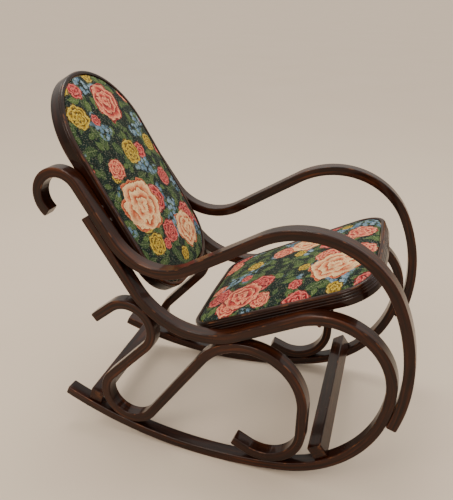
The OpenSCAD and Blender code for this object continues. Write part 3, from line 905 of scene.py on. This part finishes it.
@dataclass
class SideFrame:
    """One side frame: an arm, a runner frame and a scroll, drawn flat and then stood up and toed out."""

    side: int
    frame_length: float = 932 * MM
    arm_height: float = 685 * MM
    hook_height: float = 757 * MM
    rail_height: float = 490 * MM
    rear_width: float = 424 * MM
    toe_out: float = math.radians(4)
    thickness: float = 25 * MM
    width: float = 36 * MM
    glue_gap: float = 0.3 * MM
    corner: float = 3.2 * MM
    hook_r: float = 60 * MM
    hook_tip: float = math.radians(141)
    arm_dip_u: float = 329 * MM
    arm_dip_height: float = 534 * MM
    arm_dip_r: float = 147 * MM
    arm_crest_back: float = 246 * MM
    arm_crest_r: float = 215 * MM
    arm_front_r: float = 440 * MM
    arm_end: float = math.radians(-108)
    strut_drop: float = 74 * MM
    rail_dip_u: float = 432 * MM
    rail_dip_height: float = 380 * MM
    rail_crest_back: float = 194 * MM
    rail_crest_r: float = 153 * MM
    runner_r: float = 1040 * MM
    balance_back: float = 484 * MM
    runner_front: float = 198.2 * MM
    runner_tail: float = 424.4 * MM
    curl_r: float = 68 * MM
    curl_at: float = math.radians(228.5)
    curl_tail: float = 66 * MM
    curl_start: float = math.radians(39)
    cradle_r: float = 74 * MM
    cradle_at: float = math.radians(-103.7)
    loop_top_r: float = 143 * MM
    loop_top_at: float = math.radians(-71.5)
    loop_foot_r: float = 97 * MM
    loop_foot_at: float = math.radians(-80.7)
    loop_end: float = math.radians(-205)
    loop_tail: float = 40 * MM

    def __post_init__(self) -> None:
        """Works out the formers from the sizes."""
        half = self.thickness / 2
        beside = self.thickness + self.glue_gap
        hook = Former(self.hook_r + half, self.hook_height - self.hook_r - half, self.hook_r, -1)
        arm_dip = Former(self.arm_dip_u, self.arm_dip_height - half + self.arm_dip_r, self.arm_dip_r, 1)
        arm_crest = Former(self.frame_length - self.arm_crest_back,
                           self.arm_height - self.arm_crest_r - half, self.arm_crest_r, -1)
        rail_crest = Former(self.frame_length - self.rail_crest_back,
                            self.rail_height - self.rail_crest_r - half, self.rail_crest_r, -1)
        runner = Former(self.frame_length - self.balance_back, self.runner_r + half, self.runner_r, -1)
        out = ray(math.asin(self.runner_front / self.runner_r) - math.pi / 2)
        reach = runner.middle + self.runner_r * out - rail_crest.middle
        sweep_r = (reach @ reach - self.rail_crest_r**2) / (2 * (reach @ out - self.rail_crest_r))
        sweep = Former(*(runner.middle + (self.runner_r - sweep_r) * out), sweep_r, -1)
        front = self.meet(arm_crest.middle, self.arm_front_r - self.arm_crest_r,
                          sweep.middle, self.arm_front_r - sweep_r - beside)
        arm_front = Former(*front, self.arm_front_r, -1)
        slope = run_between(hook, arm_dip)
        up = np.array([-math.sin(slope), math.cos(slope)])
        strut = hook.at(slope) - beside * up
        low = self.rail_dip_height - half
        dip_r = float((np.array([self.rail_dip_u, low]) - strut) @ up) / (1 - up[1])
        rail_dip = Former(self.rail_dip_u, low + dip_r, dip_r, 1)
        strut_start = strut + self.strut_drop * ray(slope)

        def under_dip(radius: float, angle: float) -> Former:
            """A bend that rests against the rail's dip from below."""
            return Former(*(rail_dip.middle + (dip_r + beside + radius) * ray(angle)), radius, -1)

        def on_runner(radius: float, angle: float, turn: int) -> Former:
            """A bend that rests on the runner."""
            return Former(*(runner.middle + (self.runner_r - beside - radius) * ray(angle)), radius, turn)

        self.runner, self.sweep = runner, sweep
        self.mid_u = (arm_front.u + self.arm_front_r + half) / 2
        self.mid_y = (self.rear_width - self.width) / 2
        rail_run = run_between(rail_dip, rail_crest)
        self.rail_mid = (rail_dip.at(rail_run) + rail_crest.at(rail_run)) / 2
        self.strips = {
            "arm": Strip((hook, arm_dip, arm_crest, arm_front), self.hook_tip, self.arm_end),
            "runner_frame": Strip((rail_dip, rail_crest, sweep, runner), slope,
                                  -math.pi - math.asin(self.runner_tail / self.runner_r),
                                  lead=float(np.linalg.norm(rail_dip.at(slope) - strut_start))),
            "scroll": Strip((under_dip(self.curl_r, self.curl_at),
                             on_runner(self.cradle_r, self.cradle_at, 1),
                             under_dip(self.loop_top_r, self.loop_top_at),
                             on_runner(self.loop_foot_r, self.loop_foot_at, -1)),
                            self.curl_start, self.loop_end, lead=self.curl_tail, tail=self.loop_tail),
        }

    @property
    def word(self) -> str:
        """The word for this side, as in the CAD."""
        return "left" if self.side > 0 else "right"

    @staticmethod
    def meet(first: np.ndarray, first_r: float, second: np.ndarray, second_r: float) -> np.ndarray:
        """The rear meeting point of two circles.

        Args:
            first: The middle of the first circle.
            first_r: Its radius.
            second: The middle of the second circle.
            second_r: Its radius.

        Returns:
            The meeting point.
        """
        gap = second - first
        size = float(np.linalg.norm(gap))
        along = (size**2 + first_r**2 - second_r**2) / (2 * size)
        rise = math.sqrt(first_r**2 - along**2)
        unit = gap / size
        across = np.array([unit[1], -unit[0]]) if unit[1] < 0 else np.array([-unit[1], unit[0]])
        return first + along * unit + rise * across

    def chair_x(self, u: float) -> float:
        """Where a length along the side frame lies in the chair."""
        return (u - self.mid_u) * math.cos(self.toe_out)

    def inner_y(self, x: float) -> float:
        """The distance of the inner face from the chair's middle.

        Args:
            x: The place along the chair.

        Returns:
            The distance.
        """
        half_strip = self.width / 2 / math.cos(self.toe_out)
        at_middle = self.mid_y - half_strip + self.mid_u * math.sin(self.toe_out)
        return at_middle + x * math.tan(self.toe_out)

    def stand(self, flat: np.ndarray) -> np.ndarray:
        """Stands flat points up on this side of the chair.

        Args:
            flat: Points as (u, h, w): along the side frame, up, and across it.

        Returns:
            The points in the chair.
        """
        u, h, w = flat[..., 0], flat[..., 1], flat[..., 2]
        c, s = math.cos(self.toe_out), math.sin(self.toe_out)
        x = (u - self.mid_u) * c + w * s
        y = self.side * (u * s - w * c + self.mid_y)
        return np.stack([x, y, h], axis=-1)

    def member(self, kind: str) -> bpy.types.Object:
        """Builds one strip of this frame, with eased edges and ends.

        Args:
            kind: arm, runner_frame or scroll.

        Returns:
            The strip.
        """
        points, headings, lengths = self.strips[kind].line()
        ease = self.corner
        ends = eased_ends(ease)
        keep = (lengths > 1.6 * ease) & (lengths < lengths[-1] - 1.6 * ease)
        stations = [(points[0] + s * ray(headings[0]), headings[0], s, inset) for s, inset in ends]
        stations += [(points[i], headings[i], lengths[i], 0.0) for i in np.flatnonzero(keep)]
        stations += [(points[-1] - s * ray(headings[-1]), headings[-1], lengths[-1] - s, inset)
                     for s, inset in reversed(ends)]
        rings, grain = [], []
        seed = 3.7 * len(kind) + 1.3 * self.side
        for point, heading, length, inset in stations:
            section, near = rounded_box(self.thickness / 2 - inset, self.width / 2 - inset, ease)
            across = np.array([-math.sin(heading), math.cos(heading)])
            ring = np.column_stack([point + section[:, :1] * across, section[:, 1]])
            rings.append(ring)
            along = np.full(len(section), length + seed)
            grain.append(np.column_stack([along, section + self.thickness / 2]))
        return loft(f"{self.word}_{kind}_lacquered", self.stand(np.array(rings)), np.array(grain), near)

    def build(self) -> None:
        """Builds and dresses the frame's three strips."""
        for kind in self.strips:
            finish_piece(self.member(kind), WalnutLacquer(), "walnut_lacquer", f"{self.word}_{kind}")


# ---------------------------------------------------------------- cross members
@dataclass
class CrossMembers:
    """The two stretchers on the runners and the bearer under the seat."""

    ease: float = 3 * MM
    stretcher: float = 38 * MM
    bearer: tuple[float, float] = (30 * MM, 16 * MM)
    bearer_tilt: float = math.radians(25)

    def bar(self, node: str, half_sides: tuple[float, float], angle: float) -> bpy.types.Object:
        """Builds a bar across the chair where a CAD node lies.

        Args:
            node: The CAD node.
            half_sides: Half sizes of its section.
            angle: The section's turn about the bar.

        Returns:
            The bar.
        """
        low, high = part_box(node)
        middle = (low + high) / 2
        half = (high.y - low.y) / 2
        ends = eased_ends(self.ease)
        places = [(-half + s, inset) for s, inset in ends]
        places += [(y, 0.0) for y in np.linspace(-half + 0.02, half - 0.02, 12)]
        places += [(half - s, inset) for s, inset in reversed(ends)]
        rings, grain = [], []
        turn = np.array([[math.cos(angle), math.sin(angle)], [-math.sin(angle), math.cos(angle)]])
        for y, inset in places:
            section, near = rounded_box(half_sides[0] - inset, half_sides[1] - inset, self.ease)
            spun = section @ turn
            across = np.full(len(spun), y)
            rings.append(np.column_stack([middle.x + spun[:, 0], across, middle.z + spun[:, 1]]))
            grain.append(np.column_stack([np.full(len(spun), y + 5 * middle.x), section + 0.3]))
        return loft(f"{node}_lacquered", np.array(rings), np.array(grain), near)

    def build(self, side: SideFrame) -> None:
        """Builds and dresses the three bars.

        Args:
            side: A side frame, for the bends that the stretchers stand on.
        """
        for node, former in (("rear_stretcher", side.runner), ("front_stretcher", side.sweep)):
            low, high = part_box(node)
            middle = (low + high) / 2
            radial = math.atan2(middle.z - former.h, middle.x - side.chair_x(former.u))
            piece = self.bar(node, (self.stretcher / 2, self.stretcher / 2), radial)
            finish_piece(piece, WalnutLacquer(), "walnut_lacquer", node)
        piece = self.bar("seat_bearer", (self.bearer[0] / 2, self.bearer[1] / 2), self.bearer_tilt)
        finish_piece(piece, WalnutLacquer(), "walnut_lacquer", "seat_bearer")


# ---------------------------------------------------------------- panels
def corner_arc(before: np.ndarray, corner: np.ndarray, after: np.ndarray, radius: float,
               steps: int) -> list[np.ndarray]:
    """The arc that rounds a corner of an outline.

    Args:
        before: The corner before it.
        corner: The corner.
        after: The corner after it.
        radius: The arc's radius.
        steps: Steps along the arc.

    Returns:
        Its points.
    """
    p = (before - corner) / np.linalg.norm(before - corner)
    q = (after - corner) / np.linalg.norm(after - corner)
    half = math.acos(max(-1.0, min(1.0, float(p @ q)))) / 2
    middle = corner + radius / math.sin(half) * (p + q) / np.linalg.norm(p + q)
    first = corner + radius / math.tan(half) * p - middle
    start, sweep = math.atan2(first[1], first[0]), math.pi - 2 * half
    return [middle + radius * ray(start + sweep * k / steps) for k in range(steps + 1)]


def rounded_outline(corners: Sequence[tuple[float, float, float]], steps: Sequence[int],
                    fill: int) -> np.ndarray:
    """An outline with rounded corners, walked to the left.

    Args:
        corners: Corners as (x, y, radius).
        steps: Steps round each corner.
        fill: Points added along each straight edge.

    Returns:
        Its points. Outlines with the same steps and fill match point by point.
    """
    spots = [np.array(c[:2]) for c in corners]
    count = len(spots)
    arcs = [corner_arc(spots[i - 1], spots[i], spots[(i + 1) % count], corners[i][2], steps[i])
            for i in range(count)]
    points = []
    for i, arc in enumerate(arcs):
        points += arc
        following = arcs[(i + 1) % count][0]
        points += [arc[-1] + (following - arc[-1]) * k / (fill + 1) for k in range(1, fill + 1)]
    return np.array(points)


@dataclass
class Panel:
    """A padded panel: a shaped frame with a rebate, a cover stretched over foam, and a lining cloth.

    Its own coordinates are x along it, y across it and z out of its padded face.
    """

    title: str
    outline: Callable[[float], np.ndarray]
    place: Matrix
    grooves: Sequence[float]
    crown: float
    cloth: FloralTapestry
    lining_node: str
    depth: float = 38 * MM
    rail: float = 24 * MM
    lip: float = 11 * MM
    rebate: float = 12 * MM
    board: float = 5 * MM
    groove: float = 1.6 * MM
    edge_round: float = 5 * MM
    margin: float = 7 * MM
    voxel: float = 5 * MM
    swell_cap: float = 10 * MM
    swell_left: float = 6 * MM
    pressure: float = 4.0
    frames: int = 20
    clearance: float = 0.4 * MM
    lining_thick: float = 0.8 * MM
    lining_sag: float = 0.9 * MM
    tack_radius: float = 3.2 * MM
    tack_inset: float = 4.5 * MM
    tack_spacing: float = 27 * MM

    def profile(self) -> list[tuple[float, float, float]]:
        """The frame's section, round from the inner foot.

        Returns:
            Its points, as (inset, z, nearness to an edge).
        """
        r = self.edge_round
        points = [(self.rail, -self.depth + MM, 0.4), (self.rail - MM, -self.depth, 0.8)]
        points += [(3 * MM, -self.depth, 0.3), (MM, -self.depth + 0.6 * MM, 1.0)]
        points += [(0.0, -self.depth + 2.5 * MM, 0.4)]
        for z in sorted(-g for g in self.grooves):
            g = self.groove
            points += [(0.0, z - 1.4 * g, 0.1), (0.25 * g, z - 0.75 * g, 0.8), (g, z - 0.3 * g, 0.0)]
            points += [(g, z + 0.3 * g, 0.0), (0.25 * g, z + 0.75 * g, 0.8)]
            if z != -min(self.grooves):
                points.append((0.0, z + 1.4 * g, 0.1))
        for k in range(6):
            angle = math.pi / 2 * k / 5
            points.append((r - r * math.cos(angle), -r + r * math.sin(angle), math.sin(2 * angle) * 0.9))
        points += [(self.lip - 2 * MM, 0.0, 0.2), (self.lip - 0.6 * MM, -0.5 * MM, 0.8)]
        points += [(self.lip, -2 * MM, 0.2)]
        points += [(self.lip, -self.rebate, 0.0), (self.rail, -self.rebate, 0.0)]
        return points

    def frame(self) -> bpy.types.Object:
        """Builds the frame as a section swept round the outline.

        Returns:
            The frame.
        """
        section = self.profile()
        middle = self.outline(0.0)
        steps = np.linalg.norm(np.diff(middle, axis=0, append=middle[:1]), axis=1)
        walked = np.concatenate([[0.0], np.cumsum(steps)])
        rings = np.stack([np.column_stack([self.outline(inset), np.full(len(middle), z)])
                          for inset, z, _ in section], axis=1)
        grain = np.zeros_like(rings)
        grain[:, :, 0] = walked[:-1, None] + 2.0 * len(self.title)
        grain[:, :, 1] = [inset + 0.4 for inset, _, _ in section]
        grain[:, :, 2] = [z + 0.2 for _, z, _ in section]
        near = np.array([n for _, _, n in section])
        piece = loft(f"{self.title}_frame_lacquered", rings, grain, near, closed=True,
                     length=float(walked[-1]))
        piece.data.transform(self.place)
        return piece

    def pad(self, swell: float) -> bpy.types.Object:
        """Builds the closed form of the padding.

        Args:
            swell: How high its middle stands over the frame's face.

        Returns:
            The form.
        """
        edge = self.outline(self.lip + self.clearance)
        middle = edge.mean(0)
        floor = -self.rebate + self.board + self.clearance
        rounds = [(0.02, floor), (0.4, floor), (0.8, floor), (0.985, floor), (1.0, floor + MM)]
        rounds += [(1.0, -2.5 * MM), (0.997, -0.5 * MM)]
        for k in range(1, 13):
            share = 1 - k / 12.2
            rounds.append((share, swell * (1 - share**3.4) ** 0.8 - 0.5 * MM * share))
        rings = np.array([np.column_stack([middle + (edge - middle) * share, np.full(len(edge), z)])
                          for share, z in rounds])
        return loft(f"{self.title}_cushion", rings, rings, np.zeros(len(edge)))

    def simulate(self, piece: bpy.types.Object) -> None:
        """Blows the padding up a little with a cloth simulation, held at its rim, and keeps the result.

        Args:
            piece: The padding's form.
        """
        start = np.array([v.co for v in piece.data.vertices])
        rim = piece.vertex_groups.new(name="rim")
        for index, point in enumerate(start):
            if point[2] < -0.8 * MM:
                rim.add([index], 1.0, "REPLACE")
        cloth = piece.modifiers.new("cloth", "CLOTH")
        cloth.settings.quality = 5
        cloth.settings.mass = 0.35
        cloth.settings.tension_stiffness = 18
        cloth.settings.compression_stiffness = 12
        cloth.settings.shear_stiffness = 6
        cloth.settings.bending_stiffness = 0.4
        cloth.settings.use_pressure = True
        cloth.settings.uniform_pressure_force = self.pressure
        cloth.settings.vertex_group_mass = "rim"
        cloth.settings.effector_weights.gravity = 0
        scene = bpy.context.scene
        for number in range(1, self.frames + 1):
            scene.frame_set(number)
        mesh = baked(piece)
        moved = np.array([v.co for v in mesh.vertices]) - start
        size = np.linalg.norm(moved, axis=1, keepdims=True)
        moved *= np.minimum(1.0, self.swell_cap / np.maximum(size, 1e-9))
        mesh.vertices.foreach_set("co", (start + moved).astype(np.float32).ravel())
        piece.modifiers.remove(cloth)
        piece.vertex_groups.clear()
        piece.data = mesh
        scene.frame_set(1)

    def cushion(self) -> bpy.types.Object:
        """Builds the padded cover: a closed form, remeshed, blown up, and smoothed.

        Returns:
            The cover.
        """
        piece = self.pad(self.crown - self.swell_left)
        piece.modifiers.clear()
        remesh = piece.modifiers.new("remesh", "REMESH")
        remesh.mode = "VOXEL"
        remesh.voxel_size = self.voxel
        bake(piece)
        self.simulate(piece)
        piece.modifiers.new("smooth", "SUBSURF").levels = 1
        bake(piece)
        map_cloth(piece.data)
        piece.data.transform(self.place)
        return piece

    def lining(self) -> bpy.types.Object:
        """Builds the lining cloth, tacked round its edge and slack in the middle.

        Returns:
            The lining.
        """
        edge = self.outline(self.margin)
        middle = edge.mean(0)
        shares = np.linspace(1.0, 0.02, 14)
        below = -self.depth - 0.5 * MM
        heights = below - self.lining_sag * np.cos(math.pi / 2 * shares)
        rings = [np.column_stack([middle + (edge - middle) * share, np.full(len(edge), height)])
                 for share, height in zip(shares, heights)]
        faces, width = [], len(edge)
        for i in range(len(rings) - 1):
            faces += [(i * width + k, i * width + (k + 1) % width, (i + 1) * width + (k + 1) % width,
                       (i + 1) * width + k) for k in range(width)]
        faces.append(tuple((len(rings) - 1) * width + k for k in range(width)))
        mesh = bpy.data.meshes.new(f"{self.title}_lining_cloth")
        mesh.from_pydata(np.concatenate(rings).tolist(), [], faces)
        map_cloth(mesh)
        piece = bpy.data.objects.new(mesh.name, mesh)
        bpy.context.scene.collection.objects.link(piece)
        thick = piece.modifiers.new("thick", "SOLIDIFY")
        thick.thickness = self.lining_thick
        bake(piece)
        piece.data.transform(self.place)
        self.lining_size = tuple(float(v) for v in np.ptp(edge, axis=0))
        spans = np.roll(edge, -1, axis=0)
        self.lining_area = 0.5 * abs(float(np.sum(edge[:, 0] * spans[:, 1] - spans[:, 0] * edge[:, 1])))
        return piece

    def tacks(self) -> bpy.types.Object:
        """Builds the row of domed tacks that holds the lining.

        Returns:
            The tacks, as one piece.
        """
        edge = self.outline(self.margin + self.tack_inset)
        loop = np.vstack([edge, edge[:1]])
        walked = np.concatenate([[0.0], np.cumsum(np.linalg.norm(np.diff(loop, axis=0), axis=1))])
        base = -self.depth - 0.9 * MM
        points, faces, around = [], [], 12
        dome = ((1.0, 0.0), (0.95, 0.18), (0.74, 0.36), (0.4, 0.48), (0.08, 0.52))
        for place in np.linspace(0.0, walked[-1], round(walked[-1] / self.tack_spacing), endpoint=False):
            middle = [np.interp(place, walked, loop[:, axis]) for axis in (0, 1)]
            first = len(points)
            for share, rise in dome:
                for k in range(around):
                    x, y = middle + share * self.tack_radius * ray(math.tau * k / around)
                    points.append((x, y, base - rise * self.tack_radius))
            for ring in range(len(dome) - 1):
                low, high = first + ring * around, first + (ring + 1) * around
                faces += [(low + k, low + (k + 1) % around, high + (k + 1) % around, high + k)
                          for k in range(around)]
            faces.append(tuple(range(first, first + around)))
            faces.append(tuple(range(len(points) - around, len(points))))
        mesh = bpy.data.meshes.new(f"{self.title}_lining_tacks")
        mesh.from_pydata(points, [], faces)
        mesh.transform(self.place)
        return smoothed(mesh.name, mesh)

    def build(self) -> None:
        """Builds and dresses the frame, the cushion, the lining and its tacks."""
        finish_piece(self.frame(), WalnutLacquer(), "walnut_lacquer", f"{self.title}_frame")
        finish_piece(self.tacks(), ZincSteel(), "zinc_steel")
        cushion = finish_piece(self.cushion(), self.cloth, "tapestry",
                               f"{self.title}_cover", f"{self.title}_foam")
        lining = finish_piece(self.lining(), PlainCloth(), "lining_cloth", self.lining_node)


@dataclass
class Upholstery:
    """The seat and the back, placed between the side frames."""

    side: SideFrame
    seat_tilt: float = math.radians(25)
    seat_lift: float = 14 * MM
    seat_back_len: float = 212 * MM
    seat_front_len: float = 268 * MM
    seat_gap: float = 5 * MM
    seat_rear_r: float = 62 * MM
    seat_front_r: float = 84 * MM
    seat_front_bow: float = 9 * MM
    seat_rear_bow: float = 5 * MM
    back_lean: float = math.radians(30)
    back_u: float = 174 * MM
    back_ref_height: float = 700 * MM
    back_up: float = 285 * MM
    back_down: float = 314 * MM
    back_width: float = 364 * MM
    back_foot_r: float = 112 * MM
    back_foot_bow: float = 8 * MM
    flat_r: float = 600 * MM
    depth: float = 38 * MM

    def seat_outline(self, inset: float) -> np.ndarray:
        """The seat's outline.

        Args:
            inset: How far it lies inside the frame's edge, all round.

        Returns:
            Its points.
        """
        rear, front = -self.seat_back_len + inset, self.seat_front_len - inset
        middle = self.side.chair_x(self.side.rail_mid[0])

        def half(x: float) -> float:
            """Half the seat's width at a place along it."""
            return self.side.inner_y(middle + x * math.cos(self.seat_tilt)) - self.seat_gap - inset

        ends = (self.seat_rear_r - inset, self.seat_front_r - inset)
        corners = [(rear, -half(rear), ends[0]), (front, -half(front), ends[1]),
                   (front + self.seat_front_bow, 0.0, self.flat_r), (front, half(front), ends[1]),
                   (rear, half(rear), ends[0]), (rear - self.seat_rear_bow, 0.0, self.flat_r)]
        return rounded_outline(corners, steps=(12, 12, 4, 12, 12, 4), fill=6)

    def back_outline(self, inset: float) -> np.ndarray:
        """The back's outline.

        Args:
            inset: How far it lies inside the frame's edge, all round.

        Returns:
            Its points.
        """
        top, foot, half = -self.back_up + inset, self.back_down - inset, self.back_width / 2 - inset
        foot_r = self.back_foot_r - inset
        corners = [(top, -half, half - MM), (foot, -half, foot_r),
                   (foot + self.back_foot_bow, 0.0, self.flat_r),
                   (foot, half, foot_r), (top, half, half - MM)]
        return rounded_outline(corners, steps=(24, 14, 4, 14, 24), fill=8)

    def build(self) -> None:
        """Builds both panels."""
        seat_x = self.side.chair_x(self.side.rail_mid[0])
        on_seat = (Matrix.Translation((seat_x, 0, self.side.rail_mid[1]))
                   @ Matrix.Rotation(-self.seat_tilt, 4, "Y")
                   @ Matrix.Translation((0, 0, self.seat_lift + self.depth / 2)))
        on_back = (Matrix.Translation((self.side.chair_x(self.back_u), 0, self.back_ref_height))
                   @ Matrix.Rotation(math.pi / 2 - self.back_lean, 4, "Y"))
        seat_roses = (Rose(0.165, -0.095, 0.062, 0.6), Rose(-0.075, -0.125, 0.05, 2.2, Bloom.CORAL),
                      Rose(0.07, 0.105, 0.052, 4.0))
        back_roses = (Rose(0.085, -0.075, 0.07, 1.1), Rose(-0.185, 0.035, 0.052, 2.9, Bloom.CORAL),
                      Rose(0.215, 0.07, 0.05, 5.1))
        Panel("seat", self.seat_outline, on_seat, grooves=(7 * MM, 14 * MM, 21 * MM), crown=22 * MM,
              cloth=FloralTapestry("tapestry_seat", shift=(4.3, 2.1, 0.0), roses=seat_roses),
              lining_node="seat_dust_cover").build()
        Panel("back", self.back_outline, on_back, grooves=(8 * MM,), crown=16 * MM,
              cloth=FloralTapestry("tapestry_back", shift=(1.2, 6.4, 0.0), roses=back_roses),
              lining_node="back_lining").build()


# ---------------------------------------------------------------- carried-over parts
@dataclass
class Hardware:
    """Boards, screws, sleeves and plugs, which keep their CAD shape."""

    steel: Sequence[str] = ("seat_screws", "back_screws", "bearer_screws", "strut_screws",
                            "arm_front_screws", "curl_screws", "loop_screws", "foot_screws",
                            "stretcher_screws", "seat_spacers", "back_spacers")
    wood: Sequence[str] = ("plugs",)
    boards: Sequence[str] = ("seat_board", "back_board")

    def build(self) -> None:
        """Dresses each carried-over node."""
        for names, finish in ((self.steel, ZincSteel()), (self.wood, WalnutLacquer(WoodCut.OBJECT)),
                              (self.boards, RawPlywood())):
            for name in names:
                finish.dress(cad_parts[name])
            log.info("%s on %s", finish.name, ", ".join(names))


# ---------------------------------------------------------------- studio
@dataclass
class Studio:
    """Floor, soft lights and the camera."""

    camera_at: tuple[float, float, float] = (0.3694, -1.3761, 1.1526)
    heading: float = 0.2876
    pitch: float = 0.4288
    lens: float = 42.26
    sensor: float = 36.0
    aim: tuple[float, float, float] = (0.0, 0.0, 0.45)
    floor_size: float = 160.0
    wall: str = "a39b91"
    ceiling: str = "fffaf2"
    brightness: float = 1.4

    def floor(self) -> None:
        """Lays the paper floor."""
        mesh = bpy.data.meshes.new("studio_floor")
        half = self.floor_size / 2
        corners = [(-half, -half, 0), (half, -half, 0), (half, half, 0), (-half, half, 0)]
        mesh.from_pydata(corners, [], [(0, 1, 2, 3)])
        floor = bpy.data.objects.new("studio_floor", mesh)
        bpy.context.scene.collection.objects.link(floor)
        StudioPaper().dress(floor)

    def light(self, name: str, at: tuple[float, float, float], size: float, power: float,
              colour: str) -> None:
        """Hangs a square soft light that faces the chair.

        Args:
            name: The light's name.
            at: Its place.
            size: Its side.
            power: Its power in watts.
            colour: Its display colour.
        """
        lamp = bpy.data.lights.new(name, "AREA")
        lamp.shape = "SQUARE"
        lamp.size = size
        lamp.energy = power
        lamp.color = rgb(colour)[:3]
        holder = bpy.data.objects.new(name, lamp)
        holder.location = at
        holder.rotation_euler = (Vector(self.aim) - Vector(at)).to_track_quat("-Z", "Y").to_euler()
        bpy.context.scene.collection.objects.link(holder)

    def sky(self) -> None:
        """Lights the room from all round, brightest overhead, as a white ceiling does."""
        world = bpy.data.worlds.new("studio")
        world.use_nodes = True
        tree = Tree(world.node_tree)
        height = tree.add("SeparateXYZ", {0: tree.add("TexCoord").outputs["Generated"]}).outputs[2]
        colour = tree.mix(tree.step(height, 0.0, 0.75), rgb(self.wall), rgb(self.ceiling))
        light = tree.add("Background", {0: colour, 1: self.brightness})
        world.node_tree.links.new(light.outputs[0], tree.add("OutputWorld").inputs[0])
        bpy.context.scene.world = world

    def build(self) -> None:
        """Builds the floor, the lights, the sky light and the camera."""
        self.floor()
        self.light("overhead", at=(-0.5, 0.9, 3.0), size=1.1, power=30, colour="fff6ea")
        self.light("front", at=(-1.0, -3.0, 3.2), size=1.6, power=48, colour="fff1e0")
        self.light("side", at=(2.6, 0.4, 2.0), size=0.8, power=9, colour="f6f3ff")
        self.sky()
        lens = bpy.data.cameras.new("camera")
        lens.lens = self.lens
        lens.sensor_width = self.sensor
        camera = bpy.data.objects.new("camera", lens)
        camera.location = self.camera_at
        camera.rotation_euler = (math.pi / 2 - self.pitch, 0.0, self.heading)
        bpy.context.scene.collection.objects.link(camera)
        bpy.context.scene.camera = camera


def main() -> None:
    """Builds the studio and the chair."""
    logging.basicConfig(level=logging.INFO, format="%(message)s")
    Studio().build()
    sides = [SideFrame(side) for side in (-1, 1)]
    for side in sides:
        side.build()
    CrossMembers().build(sides[0])
    Upholstery(sides[0]).build()
    Hardware().build()


if __name__ == "__main__":
    main()
